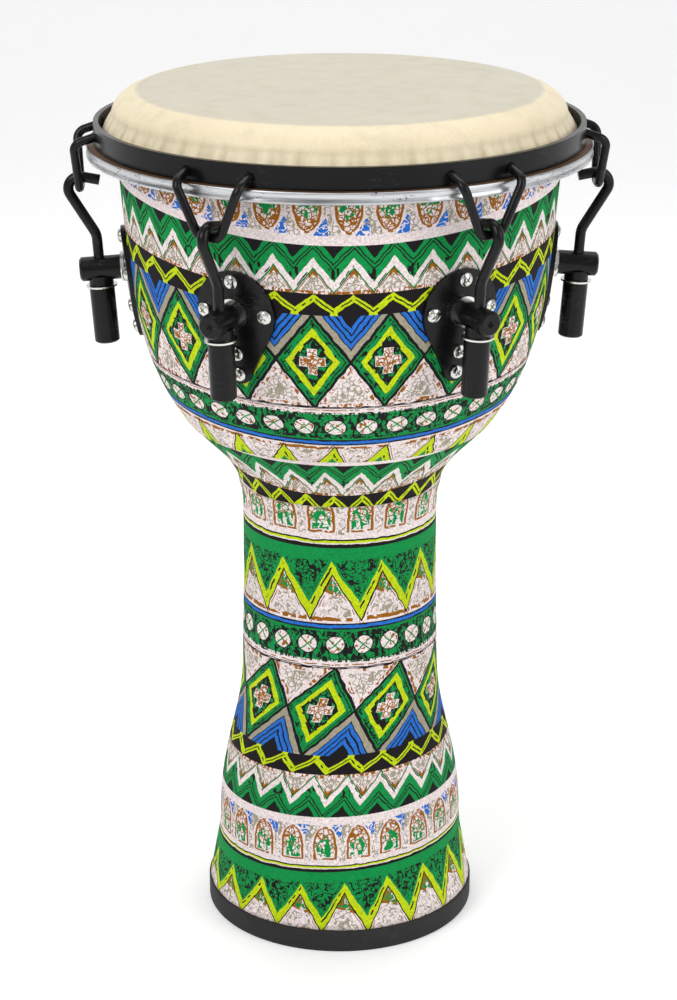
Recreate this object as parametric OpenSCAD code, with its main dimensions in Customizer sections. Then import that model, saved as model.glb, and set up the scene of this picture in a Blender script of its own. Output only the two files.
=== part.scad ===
// Mechanically tuned djembe: a goblet shell in printed cloth, with a skin drawn down
// over its top edge by a steel hoop, wire yokes, hook bolts and barrel nuts.
// The origin is on the floor at the shell's axis, and +Z points up.

/* [Shell] */
// Outer radius of the shell where it leaves the foot ring
foot_r = 80.4; // [66:0.1:97]
// Outer radius of the shell at the ankle, above the foot cone
ankle_r = 73.7; // [62:0.1:89]
// Outer radius of the tube's lower end
calf_r = 58.6; // [49:0.1:71]
// Outer radius of the tube's upper end, its narrowest place
tube_r = 57.3; // [48:0.1:69]
// Outer radius where the neck turns into the bowl
bowl_low_r = 80.1; // [67:0.1:97]
// Outer radius of the bowl at its shoulder, under the skin
rim_r = 128.5; // [107:0.1:155]
// Thickness of the moulded wall
wall_t = 4; // [3:0.1:5]
// Height of the foot cone above the foot ring
foot_h = 38.8; // [32:0.1:47]
// Height of the calf, from the ankle to the tube
calf_h = 109.2; // [91:0.1:132]
// Height of the straight tube
tube_h = 55; // [45:0.5:66]
// Height of the neck, from the tube to the bowl
neck_h = 88; // [73:0.5:106]
// Height of the bowl's round side
bowl_h = 165; // [137:0.5:198]
// Height of the nearly straight wall above the bowl's round side
collar_h = 24; // [20:0.5:30]
// Height of the rolled bearing edge above the shoulder
crown_h = 13.5; // [11:0.5:17]
// Width of the rolled bearing edge, from the shoulder inwards
crown_w = 23.5; // [19:0.5:29]

/* [Foot ring] */
// Distance of the foot ring's outer face beyond the shell's foot
ring_out = 1.5; // [0.5:0.1:4]
// Height of the foot ring
ring_h = 14; // [11:0.5:17]
// Thickness of rubber under the shell
ring_web = 4; // [3:0.5:6]
// Thickness of the foot ring's inner lip
ring_lip = 3; // [2:0.5:5]
// Depth of the step in the shell that takes the ring's outer lip
ring_step = 2; // [1.5:0.1:2.5]

/* [Cloth] */
// Thickness of the glued cloth
cloth_t = 0.5; // [0.4:0.1:0.8]
// Distance from the bowl's lower end down to the seam of the foot and waist covers
low_seam_drop = 29; // [20:1:40]
// Distance from the bowl's lower end up to the seam of the waist and bowl covers
high_seam_rise = 7.5; // [5:0.5:20]
// Overlap of the covers at each seam
seam_lap = 5; // [3:0.5:8]
// Distance from the cloth's upper edge down from the shoulder
cloth_drop = 14; // [10:1:18]

/* [Skin and hoops] */
// Thickness of the skin
skin_t = 0.5; // [0.3:0.1:0.8]
// Gap between the shell's shoulder and the counterhoop
hoop_gap = 8; // [6.5:0.1:10]
// Thickness of the counterhoop
hoop_t = 3; // [2.5:0.1:4]
// Height of the counterhoop
hoop_h = 12.5; // [10:0.5:15]
// Distance from the shoulder down to the counterhoop's upper edge
hoop_drop = 4; // [2:0.5:6]
// Height of the aluminium channel under the counterhoop
channel_h = 6.8; // [5.5:0.1:8]
// Distance from the counterhoop's inner face in to the channel's inner face
channel_in = 2.5; // [2:0.1:3]
// Distance from the counterhoop's outer face out to the channel's outer face
channel_out = 4.5; // [3:0.1:5.5]
// Sheet thickness of the channel
channel_t = 1.2; // [0.8:0.1:1.5]

/* [Lugs] */
// Number of lugs round the bowl
lugs = 6; // [4:1:7]
// Distance from the shoulder down to the place where the posts meet the cloth
lug_drop = 89.5; // [85:0.5:95]
// Angle by which the posts droop and the rods lean
lug_tilt = 4; // [2:0.5:6]
// Thickness of the lug plates
plate_t = 2.5; // [2:0.1:3.5]
// Radius of the plate's round head
plate_r = 23.5; // [22:0.5:28]
// Radius of the plate's tip
plate_tip_r = 6.5; // [5.5:0.5:8]
// Distance from the post's axis down to the centre of the plate's tip
plate_len = 35; // [32:0.5:42]
// Diameter of the posts
post_d = 14; // [12:0.5:16]
// Length of the posts from the cloth outwards
post_len = 28.6; // [27:0.1:34]
// Outer diameter of the bright ring round the post's root
root_ring_d = 17.6; // [15:0.1:20]
// Height of the root ring off the plate
root_ring_h = 2; // [1.5:0.1:3]

/* [Hook bolts] */
// Diameter of the hook bolts
rod_d = 6; // [5:0.1:7]
// Clearance between a rod and each bore it slides through, on the radius
rod_gap = 0.3; // [0.2:0.05:0.4]
// Distance from the cloth to the rod's axis
rod_off = 17.1; // [16.5:0.1:20]
// Distance from the post's axis down to the rod's lower end
rod_low = 32; // [26:0.5:34]
// Distance from the post's axis up to the bend below the hook
rod_high = 20; // [16:0.5:24]
// Radius of the bend below the hook
rod_bend_r = 12; // [8:0.5:14]
// Bend radius of the hook, to the wire's centre
hook_r = 6.8; // [6.6:0.1:8]
// Length of the hook's straight tip
tip_len = 10; // [6:0.5:12]
// Angle of the hook's tip below level
tip_drop = 10.7; // [0:0.1:15]

/* [Yokes] */
// Diameter of the yoke wire
yoke_d = 5; // [4:0.1:5.5]
// Distance between the two ends of a yoke, centre to centre
yoke_w = 38; // [32:0.5:45]
// Clearance round the yoke's ends in the counterhoop, on the radius
yoke_gap = 0.3; // [0.2:0.05:0.4]
// Height of the yoke holes above the counterhoop's lower edge
yoke_hole_h = 6; // [5:0.1:8]
// Slope of the yoke's ends below level, going outwards
yoke_slope = 18.7; // [10:0.1:22]
// Distance of the knees outside the counterhoop's outer face
knee_out = 10.5; // [9:0.1:13]
// Distance of the bottom bar outside the counterhoop's outer face
bar_out = 8.5; // [8:0.1:11]
// Distance from the yoke holes down to the bottom bar
yoke_drop = 32.5; // [28:0.5:36]
// Spacing of the bottom bar's two bends
bar_w = 13; // [11:0.5:16]
// Bend radius of the yoke wire
yoke_bend_r = 6; // [5:0.5:7]
// Gap between the bottom bar and the hook at rest
bar_gap = 0.3; // [0.2:0.05:0.5]

/* [Nuts and washers] */
// Diameter of the barrel nuts
nut_d = 14.5; // [12.5:0.1:16]
// Length of the barrel nuts
nut_len = 33; // [28:0.5:38]
// Width across the flats of the key socket
key_af = 8; // [7:0.5:9]
// Depth of the key socket
key_depth = 8; // [6:0.5:9]
// Diameter of the washers
washer_d = 18; // [16:0.5:20]
// Thickness of the washers
washer_t = 1; // [0.8:0.1:1.5]
// Length of the saddle spacer below the post
spacer_low = 2.5; // [2:0.1:4]

/* [Plate screws] */
// Diameter of the plate screws
screw_d = 4; // [3:0.1:4.5]
// Diameter of their pan heads
screw_head_d = 8; // [7:0.1:8.6]
// Height of their pan heads
screw_head_h = 2.4; // [2:0.1:3]
// Distance of the screws inside the plate's round edge
screw_in = 5.5; // [5:0.1:6.6]
// Spacing of the two screws in the plate's tail
screw_step = 12; // [10:0.5:14]
// Clearance round screws and bolts in their holes, on the radius
hole_gap = 0.2; // [0.1:0.05:0.3]
// Width across the flats of the nuts inside the shell
inner_nut_af = 7; // [5.5:0.1:8]
// Diameter of the bolt that holds each post from inside
post_bolt_d = 6; // [5:0.1:7]
// Depth of the bolt's hole in the post
post_bolt_depth = 11; // [9:0.5:12]

/* [Hidden] */
$fn = 64;
cut = 1;            // how far a cutter runs past the face it cuts
thread_gap = 0.05;  // clearance at plain stand-ins for threads, on the radius
seat_gap = 0.6;     // room between the round inner wall and the flat washers on it
root_gap = 0.4;     // room between the curved cloth and the post's flat root
ring_edge = 1.5;    // bevel round the foot ring's lower edge
least_step = 0.8;   // shortest piece of a curve that a slice leaves at its ends
lap_ease = 1.5;     // how far a cover's upper face stays raised past its lap
bead = 0.02;        // height of the beads on the wires' seams
rim_slope = 0.095;  // outward lean of the wall above the bowl, radius over height

// Heights of the stations up the shell
ankle_z = ring_h + foot_h;
calf_z = ankle_z + calf_h;
tube_z = calf_z + tube_h;
bowl_z = tube_z + neck_h;
wall_z = bowl_z + bowl_h;
shoulder_z = wall_z + collar_h;
edge_z = shoulder_z + crown_h;
edge_r = rim_r - crown_w;
low_seam_z = bowl_z - low_seam_drop;
high_seam_z = bowl_z + high_seam_rise;
lug_z = shoulder_z - lug_drop;
ring_r = foot_r + ring_out;
hoop_r = rim_r + hoop_gap;

// Curves of the shell's outer face as [radius, height], from the foot ring up
bowl_turn = 44;     // direction of the wall where the neck meets the bowl, from level
function bezier(a, b, c, d, n) =
    [for (i = [1:n]) let (t = i / n, s = 1 - t) s*s*s*a + 3*s*s*t*b + 3*s*t*t*c + t*t*t*d];
turn_v = [cos(bowl_turn), sin(bowl_turn)];
ankle = [ankle_r, ankle_z];
calf = [calf_r, calf_z];
tube = [tube_r, tube_z];
bowl_low = [bowl_low_r, bowl_z];
bowl_top = [rim_r - rim_slope * collar_h, wall_z];
calf_curve = bezier(ankle, ankle + [0, 0.48 * calf_h], calf - [0, 0.37 * calf_h], calf, 10);
neck_curve = bezier(tube, tube + [0, 0.68 * neck_h], bowl_low - 0.42 * neck_h * turn_v, bowl_low, 12);
bowl_curve = bezier(bowl_low, bowl_low + 0.36 * bowl_h * turn_v,
    bowl_top - 0.387 * bowl_h * [rim_slope, 1], bowl_top, 14);
crown_curve = [for (a = [0:10:90]) [edge_r + crown_w * cos(a), shoulder_z + crown_h * sin(a)]];
side_curve = concat([[foot_r, ring_h], [ankle_r + 0.6, ankle_z - 6], ankle],
    calf_curve, [tube], neck_curve, bowl_curve);
shell_curve = concat(side_curve, crown_curve);

// A curve moved square to itself, outwards where d is positive
function along(c, i) = c[min(i + 1, len(c) - 1)] - c[max(i - 1, 0)];
function shifted(c, d) =
    [for (i = [0:len(c) - 1]) let (v = along(c, i) / norm(along(c, i))) c[i] + d * [v[1], -v[0]]];
function turned(c) = [for (i = [len(c) - 1:-1:0]) c[i]];
function radius_at(c, z) = lookup(z, [for (p = c) [p[1], p[0]]]);
function slice(c, z0, z1) = concat([[radius_at(c, z0), z0]],
    [for (p = c) if (p[1] > z0 + least_step && p[1] < z1 - least_step) p], [[radius_at(c, z1), z1]]);

inner_curve = shifted(shell_curve, -wall_t);
wall_curve = concat(side_curve, [[rim_r, shoulder_z]]);
cloth_curve = shifted(wall_curve, cloth_t);
lap_curve = shifted(wall_curve, 2 * cloth_t);
plate_curve = shifted(wall_curve, cloth_t + plate_t);
skin_curve = shifted(crown_curve, skin_t);
foot_in_r = inner_curve[0][0];
step_r = foot_r - ring_step;
function cloth_r(z) = radius_at(cloth_curve, z);
function cloth_lean(z) = atan((cloth_r(z + 3) - cloth_r(z - 3)) / 6);

// Lugs: where each post meets the cloth, and the rod's axis beside it
lug_r = cloth_r(lug_z);
out_v = [cos(lug_tilt), -sin(lug_tilt)];
up_v = [sin(lug_tilt), cos(lug_tilt)];
rod_mid = [lug_r, lug_z] + rod_off * out_v;
washer_top = -post_d / 2 - spacer_low;
nut_top = washer_top - washer_t;
nut_low = nut_top - nut_len;

// Hoops: heights from the shoulder down
hoop_top = shoulder_z - hoop_drop;
hoop_low = hoop_top - hoop_h;
channel_low = hoop_low - channel_h;
hoop_out_r = hoop_r + hoop_t;
channel_r = hoop_r - channel_in;
channel_out_r = hoop_out_r + channel_out;
skin_foot_r = channel_r + channel_t;
skin_bulge_r = skin_foot_r - 1.9;
skin_bulge_z = hoop_top - 4;
skin_foot_z = channel_low + channel_t;

// Yokes: holes in the counterhoop, knees and bottom bar, as [x, z] at a lug on +X
hole_x = sqrt(pow(hoop_r + hoop_t / 2, 2) - pow(yoke_w / 2, 2));
hole_z = hoop_low + yoke_hole_h;
slope_v = [cos(yoke_slope), -sin(yoke_slope)];
yoke_end = [hole_x, hole_z] - (hoop_t / 2 + yoke_gap) * slope_v;
knee = [hole_x, hole_z] + (hoop_out_r + knee_out - hole_x) / slope_v[0] * slope_v;
bar = [hoop_out_r + bar_out, hole_z - yoke_drop];
yoke_path = [[yoke_end[0], -yoke_w / 2, yoke_end[1]], [knee[0], -yoke_w / 2, knee[1]],
    [bar[0], -bar_w / 2, bar[1]], [bar[0], bar_w / 2, bar[1]],
    [knee[0], yoke_w / 2, knee[1]], [yoke_end[0], yoke_w / 2, yoke_end[1]]];

// Hook: a rod, a bend, then a lean that meets the hook's circle as a tangent
hook_c = bar - [0, hook_r - rod_d / 2 - yoke_d / 2 - bar_gap];
bend_p = rod_mid + rod_high * up_v;
to_hook = hook_c - bend_p;
lean = atan2(to_hook[1], to_hook[0]) - asin(hook_r / norm(to_hook));
hook_turn = 180 + tip_drop - lean;
hook_start = hook_c + hook_r * [sin(lean), -cos(lean)];
hook_corner = hook_start + hook_r * tan(hook_turn / 2) * [cos(lean), sin(lean)];
hook_end = hook_corner - (hook_r * tan(hook_turn / 2) + tip_len) * [cos(tip_drop), sin(tip_drop)];
rod_end = rod_mid - rod_low * up_v;
hook_path = [for (p = [rod_end, bend_p, hook_corner, hook_end]) [p[0], 0, p[1]]];

// Screws of one plate, as [distance round the wall, height] from the post's axis
screw_r = plate_r - screw_in;
screw_spots = [[0, screw_r], [-screw_r, 0], [screw_r, 0], [0, screw_step - plate_len], [0, -plate_len]];

// Wire bent along points, with a bend radius at each one
function unit(v) = v / norm(v);
function turn_at(p, i) = acos(unit(p[i] - p[i - 1]) * unit(p[i + 1] - p[i]));
function setback(p, r, i) = (i == 0 || i == len(p) - 1) ? 0 : r[i] * tan(turn_at(p, i) / 2);

module rod_between(a, b, d) {
    v = b - a;
    translate(a) rotate([0, acos(v[2] / norm(v)), atan2(v[1], v[0])]) cylinder(d = d, h = norm(v), $fn = 32);
}

module wire_bend(p, r, i, d) {
    u = unit(p[i] - p[i - 1]);
    v = unit(p[i + 1] - p[i]);
    side = unit(v - u * (u * v));
    c = p[i] - u * setback(p, r, i) + side * r[i];
    n = cross(-side, u);
    multmatrix([[-side[0], u[0], n[0], c[0]], [-side[1], u[1], n[1], c[1]], [-side[2], u[2], n[2], c[2]]])
        rotate_extrude(angle = turn_at(p, i)) translate([r[i], 0]) circle(d = d, $fn = 32);
}

// A thin bead covers each seam between a straight run and a bend
module wire(p, r, d) {
    for (i = [0:len(p) - 2]) {
        u = unit(p[i + 1] - p[i]);
        from = p[i] + u * setback(p, r, i);
        to = p[i + 1] - u * setback(p, r, i + 1);
        rod_between(from, to, d);
        if (i > 0) translate(from) sphere(d = d + 2 * bead, $fn = 32);
        if (i < len(p) - 2) translate(to) sphere(d = d + 2 * bead, $fn = 32);
    }
    for (i = [1:len(p) - 2]) wire_bend(p, r, i, d);
}

// Places: X points out of the wall, at a lug's post or square to the cloth
module round_lugs() { for (k = [0:lugs - 1]) rotate([0, 0, k * 360 / lugs]) children(); }
module lug_turn(k) { rotate([0, 0, (k - 1) * 360 / lugs]) children(); }
module at_post() { translate([lug_r, 0, lug_z]) rotate([0, lug_tilt, 0]) children(); }
module at_screws() {
    for (s = screw_spots)
        rotate([0, 0, asin(s[0] / lug_r)])
            translate([cloth_r(lug_z + s[1]), 0, lug_z + s[1]])
                rotate([0, cloth_lean(lug_z + s[1]), 0]) children();
}
module along_x(from, to, d, sides = 48) {
    translate([from, 0, 0]) rotate([0, 90, 0]) cylinder(d = d, h = to - from, $fn = sides);
}
module hex_x(from, to, af) { along_x(from, to, af / cos(30), 6); }
module rod_bore(from, to) {
    translate([rod_off, 0, from]) cylinder(d = rod_d + 2 * rod_gap, h = to - from, $fn = 32);
}
module screw_holes() { at_screws() along_x(-wall_t - 4, plate_t + 3, screw_d + 2 * hole_gap, 24); }
module bolt_hole() { at_post() along_x(-wall_t - 6, cut, post_bolt_d + 2 * hole_gap, 24); }
// A sleeve round the axis, with its seam turned to lie between two lugs
module sleeve(inner, outer) {
    rotate([0, 0, 180 / lugs]) rotate_extrude($fn = 128) polygon(concat(inner, turned(outer)));
}

// Shell, foot ring and cloth
module shell() {
    color("dimgray") difference() {
        sleeve(concat([[foot_in_r, ring_web]], inner_curve),
            concat([[step_r, ring_web], [step_r, ring_h]], shell_curve));
        round_lugs() { screw_holes(); bolt_hole(); }
    }
}

module base_ring() {
    low_r = foot_in_r - ring_lip;
    color([0.09, 0.09, 0.09]) rotate_extrude($fn = 128) polygon([[low_r, 0], [ring_r - ring_edge, 0],
        [ring_r, ring_edge], [ring_r, ring_h], [step_r, ring_h], [step_r, ring_web], [foot_in_r, ring_web],
        [foot_in_r, ring_h - 1], [low_r, ring_h - 1]]);
}

module foot_cover() {
    lap = low_seam_z - seam_lap;
    color("seagreen") sleeve(
        concat(slice(side_curve, ring_h, lap), slice(cloth_curve, lap, low_seam_z)),
        concat(slice(cloth_curve, ring_h, lap - lap_ease), slice(lap_curve, lap - lap_ease, low_seam_z)));
}

module waist_cover() {
    z0 = low_seam_z - seam_lap;
    z1 = high_seam_z + seam_lap;
    color("yellowgreen") sleeve(slice(side_curve, z0, z1), slice(cloth_curve, z0, z1));
}

module bowl_cover() {
    lap = high_seam_z + seam_lap;
    top = shoulder_z - cloth_drop;
    color("mediumseagreen") difference() {
        sleeve(
            concat(slice(cloth_curve, high_seam_z, lap), slice(wall_curve, lap, top)),
            concat(slice(lap_curve, high_seam_z, lap + lap_ease), slice(cloth_curve, lap + lap_ease, top)));
        round_lugs() { screw_holes(); bolt_hole(); }
    }
}

// Skin and hoops
module drumhead() {
    color("antiquewhite") rotate_extrude($fn = 128) polygon(concat([[0, edge_z]],
        turned(crown_curve), skin_curve, [[0, edge_z + skin_t]]));
}

module drumhead_collar() {
    outer = [[rim_r + skin_t, shoulder_z], [skin_bulge_r + skin_t, skin_bulge_z],
        [skin_foot_r + skin_t, hoop_low + 1], [skin_foot_r + skin_t, skin_foot_z]];
    inner = [for (p = outer) p - [skin_t, 0]];
    color("wheat") rotate_extrude($fn = 128) polygon(concat(outer, turned(inner)));
}

module counterhoop() {
    color([0.12, 0.12, 0.12]) difference() {
        rotate_extrude($fn = 128) translate([hoop_r, hoop_low]) square([hoop_t, hoop_h]);
        round_lugs() for (side = [-1, 1])
            translate([hole_x, side * yoke_w / 2, hole_z]) rotate([0, yoke_slope, 0])
                along_x(-hoop_t - 3, hoop_t + 3, yoke_d + 2 * yoke_gap, 32);
    }
}

module flesh_hoop() {
    floor_z = channel_low + channel_t;
    color("silver") rotate_extrude($fn = 128) polygon([[channel_r, channel_low],
        [channel_out_r, channel_low], [channel_out_r, hoop_low], [channel_out_r - channel_t, hoop_low],
        [channel_out_r - channel_t, floor_z], [channel_r + channel_t, floor_z],
        [channel_r + channel_t, hoop_low], [channel_r, hoop_low]]);
}

module head_resin() {
    color("peru") rotate_extrude($fn = 128) translate([skin_foot_r + skin_t, skin_foot_z])
        square([channel_out_r - channel_t - skin_foot_r - skin_t, hoop_low - skin_foot_z]);
}

// Lugs
// The plate is a band of the wall's own shape, cut to a round head and a round tip
module lug_plate(k) {
    z0 = lug_z - plate_len - plate_tip_r - 2;
    z1 = lug_z + plate_r + 2;
    swing = acos((plate_r - plate_tip_r) / plate_len);
    outline = concat(
        [for (a = [swing - 90:9:270 - swing]) plate_r * [cos(a), sin(a)]],
        [for (a = [270 - swing:9:270 + swing]) plate_tip_r * [cos(a), sin(a)] - [0, plate_len]]);
    color([0.11, 0.11, 0.11]) lug_turn(k) difference() {
        intersection() {
            sleeve(slice(cloth_curve, z0, z1), slice(plate_curve, z0, z1));
            translate([0, 0, lug_z]) rotate([90, 0, 90]) linear_extrude(lug_r + 3 * plate_t) polygon(outline);
        }
        screw_holes();
        at_post() along_x(-6, plate_t + 3, post_d + 2 * hole_gap);
    }
}

module lug_post(k) {
    tip_in = 1.5;
    color([0.13, 0.13, 0.13]) lug_turn(k) at_post() difference() {
        rotate([0, 90, 0]) rotate_extrude() polygon([[0, root_gap], [post_d / 2, root_gap],
            [post_d / 2, post_len - 1.2], [post_d / 2 - 1.2, post_len], [0, post_len]]);
        along_x(-cut, post_bolt_depth, post_bolt_d + 2 * thread_gap, 32);
        translate([post_len - tip_in, 0, 0]) rotate([0, 90, 0]) cylinder(d1 = 0.6, d2 = 4.4, h = tip_in + 0.3);
        rod_bore(-post_d, post_d);
    }
}

module post_rings() {
    color("lightgray") round_lugs() at_post() difference() {
        along_x(plate_t + 0.4, plate_t + 0.4 + root_ring_h, root_ring_d);
        along_x(-cut, plate_t + root_ring_h + 2, post_d + 2 * thread_gap);
    }
}

module saddle_spacers() {
    color([0.15, 0.15, 0.15]) round_lugs() at_post() difference() {
        translate([rod_off, 0, washer_top]) cylinder(d = post_d, h = spacer_low + post_d * 0.22);
        along_x(0, post_len + cut, post_d + 2 * thread_gap);
        rod_bore(washer_top - cut, post_d);
    }
}

// Screws and bolts through the wall
module plate_screws() {
    low = -cloth_t - wall_t - seat_gap - 5;
    color("silver") round_lugs() at_screws() difference() {
        union() {
            along_x(low, plate_t + 0.5, screw_d, 32);
            translate([plate_t + 0.1, 0, 0]) rotate([0, 90, 0]) rotate_extrude($fn = 48)
                polygon(concat([[0, 0], [screw_head_d / 2, 0]], [for (a = [10:20:90])
                    [screw_head_d / 2 * cos(a), screw_head_h * (0.35 + 0.65 * sin(a))]],
                    [[0, screw_head_h]]));
        }
        for (a = [45, 135]) rotate([a, 0, 0])
            translate([plate_t + 0.9, -1.9, -0.45]) cube([screw_head_h, 3.8, 0.9]);
    }
}

module screw_washers() {
    seat = -cloth_t - wall_t - seat_gap / 2;
    color("lightgray") round_lugs() at_screws() difference() {
        along_x(seat - 0.8, seat, screw_d + 5, 32);
        along_x(seat - 2, seat + cut, screw_d + 2 * thread_gap, 32);
    }
}

module screw_nuts() {
    seat = -cloth_t - wall_t - seat_gap / 2 - 0.8;
    color("darkgray") round_lugs() at_screws() difference() {
        hex_x(seat - 3.2, seat, inner_nut_af);
        along_x(seat - 5, seat + cut, screw_d + 2 * thread_gap, 32);
    }
}

module post_bolts() {
    seat = -cloth_t - wall_t - seat_gap - 1.2;
    color("darkgray") round_lugs() at_post() {
        along_x(seat, post_bolt_depth - 1, post_bolt_d, 32);
        hex_x(seat - 4, seat, post_bolt_d + 4);
    }
}

module post_washers() {
    seat = -cloth_t - wall_t - seat_gap;
    color("lightgray") round_lugs() at_post() difference() {
        along_x(seat - 1.2, seat, post_bolt_d + 8, 32);
        along_x(seat - 3, seat + cut, post_bolt_d + 2 * thread_gap, 32);
    }
}

// Tuning hardware
module yoke(k) {
    r = yoke_bend_r;
    color([0.14, 0.14, 0.14]) lug_turn(k) wire(yoke_path, [0, r, r, r, r, 0], yoke_d);
}

module hook_bolt(k) {
    color([0.16, 0.16, 0.16]) lug_turn(k) wire(hook_path, [0, rod_bend_r, hook_r, 0], rod_d);
}

module nut_washer(k) {
    color("silver") lug_turn(k) at_post() difference() {
        translate([rod_off, 0, nut_top]) cylinder(d = washer_d, h = washer_t);
        rod_bore(nut_top - cut, washer_top + cut);
    }
}

module barrel_nut(k) {
    r = nut_d / 2;
    edge = 0.8;
    color([0.1, 0.1, 0.1]) lug_turn(k) at_post() difference() {
        translate([rod_off, 0, nut_low]) rotate_extrude() polygon([[0, 0], [r - edge, 0],
            [r, edge], [r, nut_len - edge], [r - edge, nut_len], [0, nut_len]]);
        rod_bore(nut_low + 2, nut_top + cut);
        translate([rod_off, 0, nut_low - cut]) cylinder(d = key_af / cos(30), h = key_depth + cut, $fn = 6);
    }
}

shell();
bowl_cover();
waist_cover();
foot_cover();
base_ring();
drumhead();
drumhead_collar();
counterhoop();
flesh_hoop();
head_resin();
post_rings();
saddle_spacers();
plate_screws();
screw_washers();
screw_nuts();
post_bolts();
post_washers();
for (k = [1:lugs]) {
    lug_plate(k);
    lug_post(k);
    yoke(k);
    hook_bolt(k);
    nut_washer(k);
    barrel_nut(k);
}
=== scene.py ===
# %% [markdown]
# # A djembe in printed cloth
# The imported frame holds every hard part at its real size. This lesson dresses it: the
# printed cloth on the shell, the skin, the crimped channel, the foot rubber, and a finish
# for each metal part. Every surface is worked out with numpy, and every finish with nodes.

# %% Load the frame and keep its box
import math

import bpy
import numpy as np
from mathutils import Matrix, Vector


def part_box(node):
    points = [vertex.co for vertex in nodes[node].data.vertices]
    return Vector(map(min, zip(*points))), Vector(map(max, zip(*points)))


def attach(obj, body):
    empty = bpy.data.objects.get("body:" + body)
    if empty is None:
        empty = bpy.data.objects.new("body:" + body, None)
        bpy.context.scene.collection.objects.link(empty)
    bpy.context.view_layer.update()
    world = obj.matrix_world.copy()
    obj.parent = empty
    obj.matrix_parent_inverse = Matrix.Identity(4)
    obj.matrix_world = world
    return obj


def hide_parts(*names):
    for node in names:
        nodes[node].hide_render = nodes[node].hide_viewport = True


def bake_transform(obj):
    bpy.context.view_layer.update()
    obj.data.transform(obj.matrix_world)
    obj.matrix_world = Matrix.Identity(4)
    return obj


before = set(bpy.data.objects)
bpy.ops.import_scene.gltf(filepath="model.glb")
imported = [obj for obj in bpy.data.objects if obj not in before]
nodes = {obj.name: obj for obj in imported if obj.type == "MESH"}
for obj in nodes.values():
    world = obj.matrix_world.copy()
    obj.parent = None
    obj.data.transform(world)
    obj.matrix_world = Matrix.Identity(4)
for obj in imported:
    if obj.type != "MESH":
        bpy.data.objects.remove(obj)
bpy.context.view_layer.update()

MM = 0.001
TURN = 2 * math.pi

# %% [markdown]
# ## Camera, floor and light
# The drum is seen from a little above, from about a metre and a half. A long lens keeps
# the hoop's ellipse calm. The floor is a pale sweep that turns up behind the drum, and
# three big soft lamps give the long highlights that glossy wire and hoops live from.

# %% Camera
CAMERA_OUT = 1.415        # level distance from the drum's axis, metres
CAMERA_UP = 0.759
CLIP_START = 0.05
PITCH_DOWN = 19.45        # degrees below the level
LENS = 90.4
LONG_SIDE = 36.0
VIEW_TURN = -2.5          # the view stands this many degrees off the lugs' own front
AXIS_SHIFT = -0.00125     # puts the axis a hair right of the frame's middle


def make_camera():
    """Stands at its distance from the axis, pitched down, its level axis through the drum."""
    data = bpy.data.cameras.new("view")
    data.lens = LENS
    data.sensor_width = LONG_SIDE
    data.sensor_fit = "AUTO"
    data.clip_start = CLIP_START
    data.shift_x = AXIS_SHIFT
    camera = bpy.data.objects.new("view", data)
    bpy.context.scene.collection.objects.link(camera)
    turn = math.radians(VIEW_TURN)
    camera.location = (CAMERA_OUT * math.sin(turn), -CAMERA_OUT * math.cos(turn), CAMERA_UP)
    camera.rotation_euler = (math.radians(90 - PITCH_DOWN), 0, turn)
    bpy.context.scene.camera = camera
    return camera


camera = make_camera()
print("camera at", tuple(round(v, 3) for v in camera.location))


# %% [markdown]
# ## Grids of points
# Almost every new piece here is a profile carried round the drum's axis. One function
# turns a grid of points into a mesh, and its columns can close on themselves.

# %% Grid to mesh
def link(name, points, *face_sets):
    """A smooth mesh object at the origin from points and one or more arrays of faces."""
    faces = [face for face_set in face_sets for face in face_set.tolist()]
    mesh = bpy.data.meshes.new(name)
    mesh.from_pydata(points.tolist(), [], faces)
    mesh.validate()
    mesh.polygons.foreach_set("use_smooth", [True] * len(mesh.polygons))
    made = bpy.data.objects.new(name, mesh)
    bpy.context.scene.collection.objects.link(made)
    return made


def ring_faces(rows, columns, closed_rows=False):
    """Corners of the quads between neighbours of a grid whose columns close on themselves.
    Rows run up the profile and columns round the axis, so the faces look outwards."""
    last = rows if closed_rows else rows - 1
    r, c = np.meshgrid(np.arange(last), np.arange(columns), indexing="ij")
    r2, c2 = (r + 1) % rows, (c + 1) % columns
    quads = np.stack([r * columns + c, r * columns + c2, r2 * columns + c2, r2 * columns + c], -1)
    return quads.reshape(-1, 4)


def carried_round(radius, height, turns):
    """Points (r cos a, r sin a, z) for arrays of radius and height over rows and columns."""
    return np.stack([radius * np.cos(turns), radius * np.sin(turns), height + 0 * turns], -1)


def even_turns(columns):
    """The angles of the columns, evenly round the axis."""
    return np.arange(columns) * TURN / columns


def ripple(turns, waves, seed):
    """A smooth closed wave round the axis: a sum of sines with seeded sizes and phases."""
    draw = np.random.default_rng(seed)
    total = 0 * turns
    for count in waves:
        total = total + draw.normal() * np.sin(count * turns + draw.uniform(0, TURN))
    return total / math.sqrt(len(waves))


print("grid helpers ready")

# %% Floor and lamps
FLOOR_REACH = 6.0         # half the floor's width, and how far it runs forward and up
FLOOR_BACK, SWEEP_R = 2.2, 1.2


def make_floor():
    """A flat strip that turns up on a quarter circle behind the drum and rises from there."""
    bend = np.radians(np.linspace(0, 90, 13))
    y = np.concatenate([[-FLOOR_REACH], FLOOR_BACK + SWEEP_R * np.sin(bend), [FLOOR_BACK + SWEEP_R]])
    z = np.concatenate([[0], SWEEP_R * (1 - np.cos(bend)), [FLOOR_REACH]])
    x = np.array([-FLOOR_REACH, FLOOR_REACH])
    points = np.stack([np.broadcast_to(x, (len(y), 2)), np.broadcast_to(y[:, None], (len(y), 2)),
                       np.broadcast_to(z[:, None], (len(y), 2))], -1).reshape(-1, 3)
    row = np.arange(len(y) - 1)[:, None] * 2
    return link("floor", points, row + np.array([[0, 1, 3, 2]]))


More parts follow.
